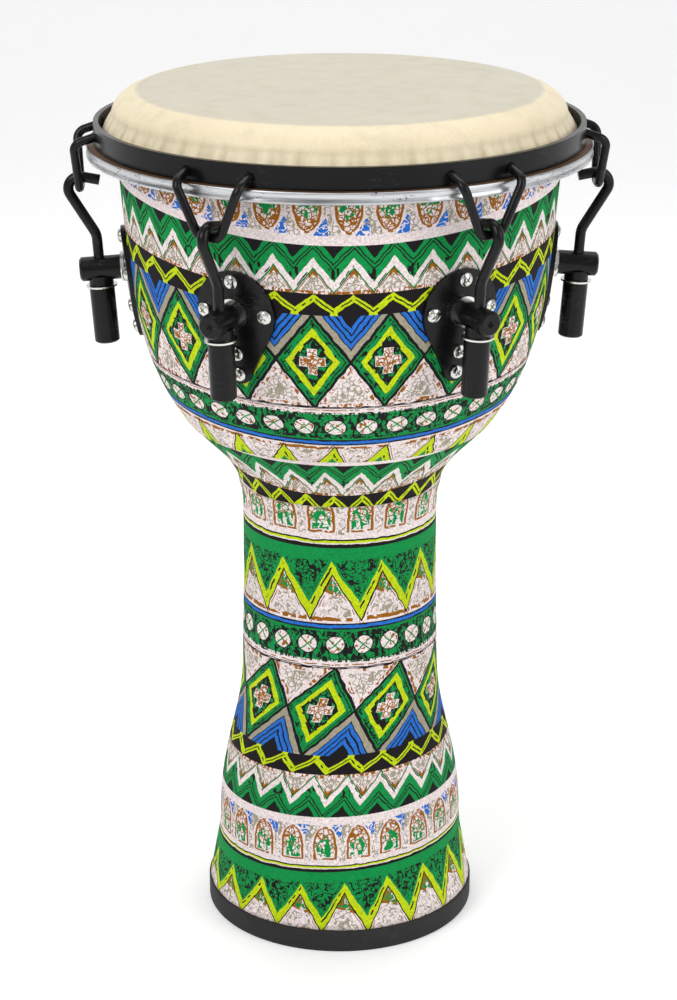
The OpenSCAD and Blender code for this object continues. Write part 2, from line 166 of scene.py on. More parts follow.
def area_lamp(name, place, aim, size, power):
    """A square lamp of the given side and power at a place, turned towards its aim."""
    data = bpy.data.lights.new(name, "AREA")
    data.shape = "RECTANGLE"
    data.size, data.size_y = size
    data.energy = power
    lamp = bpy.data.objects.new(name, data)
    bpy.context.scene.collection.objects.link(lamp)
    lamp.location = place
    lamp.rotation_euler = (Vector(aim) - Vector(place)).to_track_quat("-Z", "Y").to_euler()
    return lamp


floor = make_floor()
MIDDLE = (0, 0, 0.3)
area_lamp("key", (-1.5, -1.5, 1.9), MIDDLE, (1.3, 1.3), 30)
area_lamp("fill", (1.8, -1.2, 1.1), MIDDLE, (1.2, 1.6), 18)
area_lamp("top", (0.1, 0.5, 2.2), MIDDLE, (1.6, 1.6), 16)
world = bpy.data.worlds.new("studio")
bpy.context.scene.world = world
world.use_nodes = True
world.node_tree.nodes["Background"].inputs["Color"].default_value = (1, 1, 1, 1)
world.node_tree.nodes["Background"].inputs["Strength"].default_value = 0.46
bpy.context.scene.view_settings.view_transform = "Standard"
print("floor and lamps placed")


# %% [markdown]
# ## A small language for node sums
# The print on this cloth is drawn, not woven: zigzags, lozenges, arches and scribbles.
# Each is a sum over two numbers, the place across a repeat and the place up its band.
# Wiring hundreds of Math nodes by hand would hide that, so a value here carries its
# socket, and Python's own signs add the nodes.

# %% Values that add nodes
class Value:
    """One number that changes over the surface: an output socket in a node tree."""

    def __init__(self, tree, socket):
        self.tree, self.socket = tree, socket

    def sum(self, operation, *others):
        """Adds one Math node that works on this value and the others."""
        node = self.tree.nodes.new("ShaderNodeMath")
        node.operation = operation
        for i, other in enumerate((self,) + others):
            if isinstance(other, Value):
                self.tree.links.new(other.socket, node.inputs[i])
            else:
                node.inputs[i].default_value = other
        return Value(self.tree, node.outputs[0])

    def __add__(self, other): return self.sum("ADD", other)
    def __radd__(self, other): return self.sum("ADD", other)
    def __mul__(self, other): return self.sum("MULTIPLY", other)
    def __rmul__(self, other): return self.sum("MULTIPLY", other)
    def __sub__(self, other): return self.sum("SUBTRACT", other)
    def __rsub__(self, other): return self.sum("MULTIPLY_ADD", -1.0, other)
    def __lt__(self, other): return self.sum("LESS_THAN", other)
    def __gt__(self, other): return self.sum("GREATER_THAN", other)
    def __and__(self, other): return self.sum("MULTIPLY", other)
    def __or__(self, other): return self.sum("MAXIMUM", other)
    def __abs__(self): return self.sum("ABSOLUTE")

    def low(self, other): return self.sum("MINIMUM", other)
    def high(self, other): return self.sum("MAXIMUM", other)
    def fraction(self): return self.sum("FRACT")
    def whole(self): return self.sum("FLOOR")
    def root(self): return self.sum("SQRT")
    def near(self, other, half): return self.sum("COMPARE", other, half)

    def from_nearest(self):
        """The signed distance to the nearest whole number, from -0.5 to 0.5."""
        return (self + 0.5).fraction() - 0.5


def add_node(tree, kind, **values):
    """A node of a kind, with its settings or its inputs set by name."""
    node = tree.nodes.new(kind)
    for name, value in values.items():
        if hasattr(node, name):
            setattr(node, name, value)
        else:
            node.inputs[name.replace("_", " ")].default_value = value
    return node


def painted(tree, under, over, mask):
    """One colour laid over another where the mask is one. Colours are tuples or sockets."""
    node = tree.nodes.new("ShaderNodeMix")
    node.data_type = "RGBA"
    tree.links.new(mask.socket, node.inputs["Factor"])
    for socket, colour in ((node.inputs[6], under), (node.inputs[7], over)):
        if isinstance(colour, tuple):
            socket.default_value = colour
        else:
            tree.links.new(colour, socket)
    return node.outputs[2]


def linear(red, green, blue):
    """The linear colour of an 8 bit sRGB one, with full alpha."""
    value = np.array([red, green, blue]) / 255
    straight = np.where(value <= 0.04045, value / 12.92, ((value + 0.055) / 1.055) ** 2.4)
    return (*(float(v) for v in straight), 1.0)


print("node language ready")

# %% [markdown]
# ## The ink colours and the pen
# A wax print has few inks. The outlines waver because they were drawn by hand, so a slow
# noise bends the print's own coordinates before any shape is worked out. The scribbles
# are the level lines of a finer noise, which close into loops as a pen's do.

# %% Inks
GREEN = linear(5, 136, 66)
LIME = linear(186, 206, 14)
BLUE = linear(36, 106, 196)
PINK = linear(226, 213, 212)
BLACK = linear(22, 19, 22)
OCHRE = linear(148, 90, 8)
TAUPE = linear(156, 149, 131)

KINDS = ["arches", "plain", "triple", "lime", "lozenges", "ragged", "ovals", "blue", "peaks", "lines"]
# Nominal repeat and height of each kind on the cloth as printed, in millimetres
SIZES = {"arches": (21, 27), "plain": (20, 6), "triple": (20.6, 25), "lime": (20.9, 15.6),
         "lozenges": (41, 52), "ragged": (20, 5.2), "ovals": (17, 17.2), "blue": (20, 4),
         "peaks": (30, 40), "lines": (20, 7.4)}
print("inks:", 7, "and kinds of band:", len(KINDS))


# %% The pen
class Pen:
    """What every motif draws with: x across a repeat and y up the band, both in
    millimetres from the repeat's middle and the band's start, and the scribbles."""

    def __init__(self, tree, kind, repeats, share, wobble_x, wobble_y, marks):
        self.tree = tree
        self.width, self.height = SIZES[kind]
        self.x = repeats.from_nearest() * self.width + wobble_x
        self.y = share * self.height + wobble_y
        self.side = abs(self.x)
        self.across = self.side * (2 / self.width)
        self.loops, self.strokes, self.cells, self.dashes, self.dots = marks
        self.colour = None

    def fill(self, colour):
        self.colour = colour

    def ink(self, colour, mask):
        self.colour = painted(self.tree, self.colour, colour, mask)

    def line(self, distance, half):
        """A mask along the places where a distance is nearly nought."""
        return abs(distance) < half


# %% [markdown]
# ## Arches and zigzags
# Each motif is painted as on paper: the ground first, then each ink over it where its mask
# is one. A zigzag is a line whose height grows with the distance from the repeat's middle.

# %% Arches, the bare stripe and two zigzags
def draw_arches(p):
    """Arches with pointed tips, green strokes at the base and brown loops at the tip."""
    bow = ((p.y - 10) * (1 / 14.5)).high(0)
    half = (1 - bow * bow).high(0).root() * 6.6 + bow * (p.y < 26) * 0.6
    inside = (p.side < half) & (p.y > 2.6)
    gap = p.side > half + 1.0
    p.fill(PINK)
    p.ink(TAUPE, gap & (p.y > 1) & (p.y < 21) & (p.side > 8.2) & p.loops)
    p.ink(TAUPE, gap & (p.y > abs(p.x + 9.5) * 1.5 + 16) & (p.y < 26.4) & (p.strokes | p.cells))
    p.ink(BLUE, gap & (p.y > abs(p.x - 9.0) * 1.5 + 17.5) & (p.y < 26.6) & (p.loops < 0.5))
    p.ink(OCHRE, inside & (p.y > 9) & (p.cells | (p.loops & (p.y > 17))))
    p.ink(GREEN, (p.side < 5.0) & (p.y > 4) & (p.y < 19 - p.side) & (p.strokes | p.loops))
    p.ink(OCHRE, (abs(p.side - half) < 0.72) & (p.y > 2.4) & (p.y < 25.6))
    p.ink(OCHRE, (abs(p.y - 2.8) < 0.6) & (p.side < 6.2) & (p.dashes | p.strokes))


def draw_plain(p):
    """The bare ground between two bands."""
    p.fill(PINK)


def draw_triple(p):
    """Black triangles and double lines over a thick pale zigzag, with small pale peaks."""
    upper = p.across * 12.9 + 6.0
    under = upper + 4.9
    edge = under + 1.3
    p.fill(GREEN)
    p.ink(BLACK, p.y < (p.across - 0.46) * 12.4)
    p.ink(BLACK, p.line(p.y - p.across * 10.6 + 0.8, 0.52))
    p.ink(BLACK, p.line(p.y - p.across * 11.2 - 1.2, 0.52))
    p.ink(BLACK, (p.across > 0.7) & (p.y > 11.6) & (p.y < 17.4) & p.strokes)
    p.ink(PINK, (p.y > upper) & (p.y < under))
    p.ink(BLACK, p.line(p.y - upper - 4.2, 0.5) & (p.x < 0) & p.dashes)
    p.ink(BLACK, p.line(p.y - edge, 0.5) & ((p.x > 0) | p.dashes))
    p.ink(PINK, p.y > edge)
    p.ink(TAUPE, (p.y > edge + 2.4) & (p.across < 0.6) & (p.y < 23) & (p.loops | p.cells))
    p.ink(OCHRE, (p.y > edge + 0.4) & (p.y < edge + 1.2) & (p.dashes | p.strokes))
    p.ink(OCHRE, (p.y > edge) & (p.y < edge + 2.2) & (p.across < 0.22))
    p.ink(OCHRE, (p.y > edge) & (p.y > 23.2) & (p.strokes | p.loops))


def draw_lime(p):
    """A lime zigzag on black with a broken thin line inside it."""
    upper = p.across * 10.0 + 0.2
    p.fill(BLACK)
    p.ink(LIME, (p.y > upper) & (p.y < upper + 5.3))
    p.ink(BLACK, p.line(p.y - upper - 2.6, 0.62) & (p.dashes | (p.x > 0)) & (p.across > 0.08))
    p.ink(LIME, (p.y > 13.8) & (p.across > 0.8))


print("drawn: arches, plain, triple, lime")

# %% [markdown]
# ## Lozenges and ovals
# The distance inside a lozenge is one less the sum of its two shares, across and up. Every
# ring and chevron is a range of that distance, so they all run parallel to its edge.

# %% Lozenges, the ragged stripe and the ovals
def draw_lozenges(p):
    """Lozenges with a lime ring and a small cross; blue chevrons before, pale ones after."""
    rise = (p.y - 26)
    reach = (p.side * (2 / 41) + abs(rise) * (1 / 26))
    deep = (1 - reach) * 16.1
    out = deep * -1
    before = (rise < 0)
    p.fill(PINK)
    p.ink(TAUPE, (out > 4.2) & (p.y < 48.5) & (p.cells | (p.strokes & (out > 7))))
    p.ink(OCHRE, (out > 1.2) & ((out < 3.4) | (p.y > 49.2)) & (p.loops | p.strokes) & p.dashes)
    p.ink(BLACK, p.y > 51.3)
    chevrons = before & (out > 0)
    p.ink(TAUPE, chevrons)
    p.ink(BLACK, chevrons & (out > 3.9))
    p.ink(BLUE, chevrons & (out > 4.5) & (((out - 4.5) * (1 / 2.75)).fraction() < 0.68))
    p.ink(BLACK, chevrons & (out > 12.4))
    p.ink(GREEN, deep > 0)
    p.ink(BLACK, (deep > 1.2) & (deep < 4.3) & (p.loops & p.dashes))
    p.ink(BLACK, p.line(deep - 2.0, 0.3) & (p.dashes | (p.x > 0)))
    p.ink(LIME, (deep > 4.3) & (deep < 7.5))
    p.ink(BLACK, p.line(deep - 7.0, 0.5) & p.dashes & ((p.x * -1 - rise) > 0))
    p.ink(BLACK, (deep > 7.5) & (p.strokes | p.loops))
    p.ink(BLACK, p.line(deep - 7.7, 0.35))
    arm = p.side.low(abs(rise))
    tip = p.side.high(abs(rise))
    p.ink(PINK, (arm < 2.7) & (tip < 7.2))
    p.ink(OCHRE, (arm < 2.4) & (tip < 6.8) & (p.cells | p.loops))
    p.ink(BLACK, abs(deep) < 0.85)


def draw_ragged(p):
    """A pale stripe with a torn edge and brown streaks."""
    p.fill(PINK)
    p.ink(BLACK, p.line(p.y - 0.5, 0.3))
    p.ink(OCHRE, p.line(p.y - 2.0, 0.38) & (p.dashes | p.strokes))
    p.ink(BLACK, (p.y > 3.9) & (p.loops | p.strokes))
    p.ink(GREEN, (p.y > 4.7) & p.cells)


def draw_ovals(p):
    """Pale ovals with a green cross, on green full of black scribble."""
    rise = p.y - 8.6
    reach = ((p.x * (1 / 5.6)) * (p.x * (1 / 5.6)) + (rise * (1 / 4.7)) * (rise * (1 / 4.7))).root()
    p.fill(GREEN)
    p.ink(BLACK, (p.loops | p.strokes) & (p.y < 16.2))
    p.ink(BLACK, reach < 1.14)
    p.ink(PINK, reach < 1)
    p.ink(GREEN, (reach < 1) & (abs(abs(p.x) * 0.8 - abs(rise)) < 0.5))
    p.ink(OCHRE, (reach < 0.95) & p.dots)


print("drawn: lozenges, ragged, ovals")


# %% The blue line, the tall peaks and the fine lines
def draw_blue(p):
    """A blue line between two black ones."""
    p.fill(BLACK)
    p.ink(BLUE, p.line(p.y - 2, 0.95))


def draw_peaks(p):
    """Tall pale peaks under a lime zigzag, with scribbled green above."""
    outer = 32.6 - p.across * 22
    inner = 26 - p.across * 24.5
    p.fill(GREEN)
    p.ink(BLACK, (p.y > outer + 2.2) & (p.y < 33.5) & (p.loops | (p.strokes & p.cells)))
    p.ink(LIME, (p.y < outer) & (p.y > inner))
    p.ink(BLACK, p.line(p.y - outer + 2.6, 0.9) & (p.x < 0) & p.dashes)
    p.ink(PINK, p.y < inner)
    p.ink(TAUPE, (p.y < inner - 5) & (p.y < 16) & (p.y > 2.6) & (p.across < 0.6) & p.loops)
    p.ink(OCHRE, (p.y < inner) & (p.y > 15.4 - p.x * 0.3) & (p.strokes | p.loops | (p.x < 0)))
    p.ink(GREEN, (p.y < inner - 1.6) & (p.y > 16.6 - p.x * 0.3) & (p.cells < 0.5))
    p.ink(OCHRE, p.line(p.y - inner + 2.6, 0.5) & (p.y < 15) & (p.strokes | p.dashes))
    p.ink(OCHRE, (p.y < inner) & (p.y < 3.2) & (p.y > 1.2) & (p.dashes | p.strokes))
    p.ink(BLACK, p.line(p.y - inner, 0.75))


def draw_lines(p):
    """Fine stripes: thick black, pale, lime, black, pale."""
    p.fill(BLACK)
    p.ink(PINK, p.y > 2.3)
    p.ink(LIME, p.y > 3.0)
    p.ink(BLACK, p.y > 4.3)
    p.ink(PINK, p.y > 5.3)


MOTIFS = {"arches": draw_arches, "plain": draw_plain, "triple": draw_triple, "lime": draw_lime,
          "lozenges": draw_lozenges, "ragged": draw_ragged, "ovals": draw_ovals,
          "blue": draw_blue, "peaks": draw_peaks, "lines": draw_lines}
print("motifs:", ", ".join(KINDS))


# %% [markdown]
# ## The print as one group
# The cloth's map gives two numbers: how many repeats round the drum, and a kind plus a
# share of the band's height. The group splits them, bends them with the pen's wobble,
# draws every motif and keeps the one whose number the map carries.

# %% Groups
def new_group(name, inputs, outputs):
    """A node group with its sockets made by name, kind and default value."""
    group = bpy.data.node_groups.new(name, "ShaderNodeTree")
    for title, kind, value in inputs:
        socket = group.interface.new_socket(title, in_out="INPUT", socket_type="NodeSocket" + kind)
        if value is not None:
            socket.default_value = value
    for title, kind in outputs:
        group.interface.new_socket(title, in_out="OUTPUT", socket_type="NodeSocket" + kind)
    return group, group.nodes.new("NodeGroupInput"), group.nodes.new("NodeGroupOutput")


def noise_at(tree, place, scale, detail=2.0, stretch=(1, 1, 1), distortion=0.0):
    """A noise texture read at a place that is stretched first."""
    mapping = add_node(tree, "ShaderNodeMapping")
    mapping.inputs["Scale"].default_value = stretch
    tree.links.new(place, mapping.inputs["Vector"])
    noise = add_node(tree, "ShaderNodeTexNoise", Scale=scale, Detail=detail, Distortion=distortion)
    tree.links.new(mapping.outputs[0], noise.inputs["Vector"])
    return noise


def make_print_group():
    """Colour of the printed cloth at a place on it."""
    group, given, out = new_group("wax_print", [("Print", "Vector", None), ("Place", "Vector", None)],
                                  [("Color", "Color")])
    place = given.outputs["Place"]
    split = add_node(group, "ShaderNodeSeparateXYZ")
    group.links.new(given.outputs["Print"], split.inputs[0])
    repeats = Value(group, split.outputs[0])
    code = Value(group, split.outputs[1])
    kind, share = code.whole(), code.fraction()

    bend = noise_at(group, place, 150, 2)
    bend_parts = add_node(group, "ShaderNodeSeparateColor")
    group.links.new(bend.outputs["Color"], bend_parts.inputs[0])
    wobble_x = (Value(group, bend_parts.outputs[0]) - 0.5) * 2.4
    wobble_y = (Value(group, bend_parts.outputs[1]) - 0.5) * 2.2

    curl = noise_at(group, place, 250, 0.3, distortion=1.1)
    loops = abs(Value(group, curl.outputs[0]) - 0.5) < 0.052
    streak = noise_at(group, place, 460, 0.5, (1, 1, 0.4))
    strokes = Value(group, streak.outputs[0]) > 0.55
    bubble = add_node(group, "ShaderNodeTexVoronoi", feature="DISTANCE_TO_EDGE", Scale=340.0)
    group.links.new(place, bubble.inputs["Vector"])
    cells = Value(group, bubble.outputs["Distance"]) < 0.085
    broken = noise_at(group, place, 260, 0.0)
    dashes = Value(group, broken.outputs[0]) > 0.47
    speck = noise_at(group, place, 520, 0.0)
    dots = Value(group, speck.outputs[0]) > 0.64
    marks = (loops, strokes, cells, dashes, dots)

    colour = PINK
    for number, name in enumerate(KINDS):
        pen = Pen(group, name, repeats, share, wobble_x, wobble_y, marks)
        MOTIFS[name](pen)
        colour = painted(group, colour, pen.colour, kind.near(float(number), 0.4))
    group.links.new(colour, out.inputs["Color"])
    return group


wax_print = make_print_group()
print("print group:", len(wax_print.nodes), "nodes")


# %% [markdown]
# ## Shared effects
# Two effects serve several finishes. Mottle shifts a colour slowly over the surface and
# speckles it finely, as no real surface is even. Scratches are thin level lines of a
# stretched noise, which lighten worn metal.

# %% Mottle and scratches
def make_mottle_group():
    """Multiplies a colour by one plus a slow and a fine noise, each with its own strength."""
    group, given, out = new_group(
        "mottle", [("Color", "Color", (0.5, 0.5, 0.5, 1)), ("Place", "Vector", None),
                   ("Slow", "Float", 0.1), ("Fine", "Float", 0.1)],
        [("Color", "Color"), ("Grain", "Float")])
    place = given.outputs["Place"]
    slow = Value(group, noise_at(group, place, 22, 3).outputs[0]) - 0.5
    fine = Value(group, noise_at(group, place, 900, 2).outputs[0]) - 0.5
    shift = slow * Value(group, given.outputs["Slow"]) + fine * Value(group, given.outputs["Fine"])
    scale = add_node(group, "ShaderNodeVectorMath", operation="SCALE")
    group.links.new(given.outputs["Color"], scale.inputs[0])
    group.links.new((shift * 2 + 1).socket, scale.inputs["Scale"])
    group.links.new(scale.outputs[0], out.inputs["Color"])
    group.links.new((fine + 0.5).socket, out.inputs["Grain"])
    return group


def make_scratch_group():
    """A mask of thin scratches, and a slow smear that varies a polish."""
    group, given, out = new_group("scratches", [("Place", "Vector", None), ("Width", "Float", 0.01)],
                                  [("Mask", "Float"), ("Smear", "Float")])
    place = given.outputs["Place"]
    long_noise = Value(group, noise_at(group, place, 60, 3, (1, 1, 5)).outputs[0])
    gate = Value(group, noise_at(group, place, 35, 1).outputs[0]) > 0.56
    mask = (abs(long_noise - 0.5) < Value(group, given.outputs["Width"])) & gate
    smear = Value(group, noise_at(group, place, 45, 2, (1, 1, 2.5)).outputs[0])
    group.links.new(mask.socket, out.inputs["Mask"])
    group.links.new(smear.socket, out.inputs["Smear"])
    return group


mottle, scratches = make_mottle_group(), make_scratch_group()


class Finish:
    """A material with one Principled shader and the helpers that feed it."""

    def __init__(self, name, **constants):
        self.material = bpy.data.materials.new(name)
        self.material.use_nodes = True
        self.tree = self.material.node_tree
        self.shader = self.tree.nodes["Principled BSDF"]
        for title, value in constants.items():
            self.shader.inputs[title.replace("_", " ")].default_value = value
        self.place = add_node(self.tree, "ShaderNodeTexCoord").outputs["Object"]

    def value(self, socket):
        return Value(self.tree, socket)

    def group(self, group, **feeds):
        node = self.tree.nodes.new("ShaderNodeGroup")
        node.node_tree = group
        for title, feed in feeds.items():
            if isinstance(feed, bpy.types.NodeSocket):
                self.tree.links.new(feed, node.inputs[title])
            else:
                node.inputs[title].default_value = feed
        return node

    def mottled(self, colour, slow, fine):
        return self.group(mottle, Color=colour, Place=self.place, Slow=slow, Fine=fine)

    def noise(self, scale, detail=2.0, stretch=(1, 1, 1)):
        return self.value(noise_at(self.tree, self.place, scale, detail, stretch).outputs[0])

    def feed(self, title, source):
        socket = source.socket if isinstance(source, Value) else source
        self.tree.links.new(socket, self.shader.inputs[title])

    def bump(self, height, distance, strength=1.0):
        node = add_node(self.tree, "ShaderNodeBump", Strength=strength, Distance=distance)
        self.tree.links.new(height.socket, node.inputs["Height"])
        self.tree.links.new(node.outputs[0], self.shader.inputs["Normal"])


def give(finish, *objects):
    """Puts one finish on every slot of each object."""
    for thing in objects:
        thing.data.materials.clear()
        thing.data.materials.append(finish.material)


print("shared effects ready")

# %% [markdown]
# ## The finish of the printed cloth
# Glued cotton has almost no gloss. Its weave is far finer than the print, so it only
# bends the light: two crossed sine waves, counted along the cloth's thread map.

# %% Cloth finish
THREAD = 0.62              # spacing of the threads, millimetres


def cloth_finish():
    finish = Finish("printed_cloth", Specular_IOR_Level=0.14)
    tree = finish.tree
    print_map = add_node(tree, "ShaderNodeUVMap", uv_map="Print")
    thread_map = add_node(tree, "ShaderNodeUVMap", uv_map="Thread")
    drawn = finish.group(wax_print, Print=print_map.outputs[0], Place=finish.place)
    shade = finish.mottled(drawn.outputs["Color"], 0.12, 0.55)
    finish.feed("Base Color", shade.outputs["Color"])
    split = add_node(tree, "ShaderNodeSeparateXYZ")
    tree.links.new(thread_map.outputs[0], split.inputs[0])
    warp = (finish.value(split.outputs[0]) * TURN).sum("SINE")
    weft = (finish.value(split.outputs[1]) * TURN).sum("SINE")
    cloth_height = warp * weft * 0.5 + finish.noise(340, 2) * 1.2
    finish.bump(cloth_height, 0.00012, 0.55)
    finish.feed("Roughness", finish.value(shade.outputs["Grain"]) * 0.2 + 0.62)
    return finish


cloth = cloth_finish()
print("cloth finish:", len(cloth.tree.nodes), "nodes")

# %% [markdown]
# ## The cloth covers
# Three covers are glued to the shell: foot, waist and bowl. Each laps the next by a few
# millimetres, so both seams show as a small step. The covers' profile is the shell's own
# wall, read from the same curves as the frame, and each band of the print gets its own
# rows of faces, so that a band's edge falls on an edge of the mesh.

# %% The wall's profile
FLARE = math.radians(44)   # slope of the wall where the neck meets the bowl


def curve(a, b, c, d, count=24):
    """Points of the cubic curve from a to d with handles b and c, without the first."""
    t = np.linspace(0, 1, count + 1)[1:, None]
    s = 1 - t
    return s**3 * a + 3 * s * s * t * b + 3 * s * t * t * c + t**3 * d


def wall_profile():
    """The shell's wall as rows of radius and height in millimetres, from the foot ring up:
    a straight foot, then a cubic calf, a plain tube, a cubic neck and a cubic bowl."""
    foot = [[80.4, 14], [74.3, 46.8]]
    ankle, calf, tube = np.array([73.7, 52.8]), np.array([58.6, 162]), np.array([57.3, 217])
    throat, top, shoulder = np.array([80.1, 305]), np.array([126.22, 470]), [128.5, 494]
    up, lean = np.array([0, 1]), np.array([0.095, 1])
    flare = np.array([math.cos(FLARE), math.sin(FLARE)])
    return np.vstack([
        foot, [ankle], curve(ankle, ankle + 52.4 * up, calf - 40.4 * up, calf),
        [tube], curve(tube, tube + 59.84 * up, throat - 36.96 * flare, throat),
        curve(throat, throat + 59.4 * flare, top - 63.86 * lean, top), [shoulder]])


wall = wall_profile()
CLOTH_T = 0.5
FOOT_Z, LOW_SEAM, HIGH_SEAM, CLOTH_TOP = 14.0, 276.0, 312.5, 480.0
LAP = 5.0


def wall_r(z):
    """Outer radius of the bare shell at a height, in millimetres."""
    return np.interp(z, wall[:, 1], wall[:, 0])


print("wall profile:", len(wall), "points")

# %% The bands of the print
# Each band: kind, lower and upper height, repeats round the drum, phase, skew, and the
# shares of the motif at its lower and upper edge. Foot bands read upwards, others down.
FOOT_BANDS = [
    ("peaks", 14, 50, 18, 0.52, 0.0, 0.08, 1), ("lines", 50, 56, 20, 0, 0, 0, 1),
    ("arches", 56, 80.5, 23, 0.35, 0, 0, 1), ("plain", 80.5, 85, 20, 0, 0, 0, 1),
    ("triple", 85, 110.3, 21, 0.88, -0.25, 0, 1), ("lime", 110.3, 121.5, 20, 0.53, -0.23, 0, 1),
    ("lozenges", 121.5, 175.5, 9, 0.82, -0.45, 0, 1), ("ragged", 175.5, 180.3, 20, 0, 0, 0, 1),
    ("ovals", 180.3, 199.5, 22, 0.81, 0, 0, 1), ("blue", 199.5, 203.3, 20, 0, 0, 0, 1),
    ("peaks", 203.3, 250, 12, 0.165, 0.1, 0, 1), ("lines", 250, 257.4, 20, 0, 0, 0, 1),
    ("arches", 257.4, 276, 16, 0.59, 0, 0, 0.66)]
WAIST_BANDS = [
    ("lime", 270.5, 284, 24, 0.37, 0, 1, 0),
    ("triple", 284, 309.3, 24, 0.56, 0, 1, 0), ("plain", 309.3, 317.5, 20, 0, 0, 1, 0)]
BOWL_BANDS = [
    ("peaks", 312.5, 327.7, 21, 0.978, 0.25, 0.37, 0), ("blue", 327.7, 331.7, 20, 0, 0, 1, 0),
    ("ovals", 331.7, 348.9, 38, 0.9, 0, 1, 0), ("ragged", 348.9, 354.1, 20, 0, 0, 1, 0),
    ("lozenges", 354.1, 406, 18, 0.98, 0, 1, 0), ("lime", 406, 421.6, 36, 0.9, 0, 1, 0),
    ("triple", 421.6, 446.6, 36, 0.9, 0, 1, 0), ("plain", 446.6, 452.6, 20, 0, 0, 1, 0),
    ("arches", 452.6, 480, 36, 0.03, 0, 1, 0)]
CLOTH_COLUMNS = 288
ROW_STEP = 3.6             # tallest row of faces, millimetres
EDGE_SHARE = 0.0005        # keeps a band's edge clear of the next kind's number


def band_rows(bands, low, high):
    """Heights of the rows of one cover, with the band and the motif's share of each row
    of faces at its two edges."""
    heights, rows = [], []
    for kind, z0, z1, count, phase, skew, share0, share1 in bands:
        steps = max(1, round((min(z1, high) - max(z0, low)) / ROW_STEP))
        cuts = np.linspace(max(z0, low), min(z1, high), steps + 1)
        shares = share0 + (cuts - z0) / (z1 - z0) * (share1 - share0)
        shares = np.clip(shares, EDGE_SHARE, 1 - EDGE_SHARE)
        for i in range(steps):
            rows.append((KINDS.index(kind), count, phase, skew, shares[i], shares[i + 1]))
        heights += list(cuts[:-1])
    return np.array(heights + [high]), np.array(rows)


print("bands:", len(FOOT_BANDS), len(WAIST_BANDS), len(BOWL_BANDS))


# %% [markdown]
# ## One cover as a closed thin solid
# A cover is carried round as a loop: up its outer face, over its upper edge and down its
# inner face. Its print map, its thread map and the map that the bake uses are worked out
# for the outer face as whole arrays, one number per face corner.

# %% Make the covers
HIDDEN_KIND = KINDS.index("plain")
VIEW_SIDE = math.radians(-92.5)


def drifted(at, front=0, sides=0, lean=0):
    """A drift of the print's rows, in millimetres: so much at the front, so much more at
    the two sides, and a lean from one side to the other, each given at some heights."""
    def drift(turns, heights):
        away = np.sin(turns[None, :] - VIEW_SIDE)
        spread = [np.interp(heights, at, part if np.ndim(part) else [part] * len(at))[:, None]
                  for part in (front, sides, lean)]
        return spread[0] + spread[1] * away**2 + spread[2] * away
    return drift


foot_drift = drifted([14, 34, 52, 82, 110, 121, 150, 276], lean=[0, 6.5, 5, 3.7, 2.7, 2.7, 0, 0])
waist_drift = drifted([262, 270, 305, 317.5], sides=[0, 8, 8, 0])
bowl_drift = drifted([312.5, 327.7, 331.7, 348.9, 354.1, 380, 406, 421.6, 446.6, 452.6, 480],
                     front=[0, -2.2, -2.2, -2, -3, -1, 0, -3.4, -1.6, -2.6, 0],
                     sides=[0, 9, 9.5, 7, 6.5, 8.5, 10.5, 12, 14, 13, 0])


def cover(bands, low, high, lift, drift, seed):
    """Points, faces and maps of one cover. The lift gives how far its inner face stands off
    the wall at each height, and its outer face stands one thickness further."""
    heights, rows = band_rows(bands, low, high)
    turns = even_turns(CLOTH_COLUMNS)
    z_out = heights[:, None] + 0 * turns[None, :]
    z_out = z_out + drift(turns, heights)
    soft = ripple(turns, (5, 9, 14, 23), seed) * 0.05
    r_out = wall_r(z_out) + (CLOTH_T + lift(heights))[:, None] + soft[None, :]
    back = heights[::-1][::2]
    back = np.unique(np.concatenate([back, [low, high]]))[::-1]
    r_in = wall_r(back)[:, None] + lift(back)[:, None] + 0 * turns[None, :]
    z_in = back[:, None] + 0 * turns[None, :]
    radius, height = np.vstack([r_out, r_in]), np.vstack([z_out, z_in])
    points = carried_round(radius, height, turns[None, :]).reshape(-1, 3) * MM
    total = len(radius)
    faces = ring_faces(total, CLOTH_COLUMNS, closed_rows=True)
    face_row = np.repeat(np.arange(total), CLOTH_COLUMNS)
    face_column = np.tile(np.arange(CLOTH_COLUMNS), total)
    outer = face_row < len(rows)
    corner_column = face_column[:, None] + np.array([0, 1, 1, 0])
    corner_up = np.array([0, 0, 1, 1])
    row = np.minimum(face_row, len(rows) - 1)
    kind = np.where(outer, rows[row, 0], HIDDEN_KIND)
    share = np.where(corner_up == 0, rows[row, 4][:, None], rows[row, 5][:, None])
    share = np.where(outer[:, None], share, 0.5)
    around = corner_column / CLOTH_COLUMNS
    u = around * rows[row, 1][:, None] + rows[row, 2][:, None] + rows[row, 3][:, None] * share
    print_map = np.stack([u, kind[:, None] + share], -1)
    next_row = (face_row + 1) % total
    mean_z = height.mean(1)
    z_corner = np.where(corner_up == 0, mean_z[face_row][:, None], mean_z[next_row][:, None])
    thread_map = np.stack([around * TURN * 100 / THREAD, z_corner / THREAD], -1)
    return points, faces, print_map, thread_map, around, z_corner, outer


LAP_EASE = 1.5             # a lapped edge climbs onto the cloth below it over this length


def lifted(z, start):
    """One cloth's thickness more above a height, reached over a short ease below it."""
    return CLOTH_T * np.clip((z - start + LAP_EASE) / LAP_EASE, 0, 1)


def foot_lift(z):
    """The foot cover laps over the waist cover above their seam."""
    return lifted(z, LOW_SEAM - LAP)


def waist_lift(z):
    """The waist cover lies on the shell all the way."""
    return 0 * z


def bowl_lift(z):
    """The bowl cover laps over the waist cover at its lower edge."""
    return CLOTH_T - lifted(z, HIGH_SEAM + LAP + LAP_EASE)


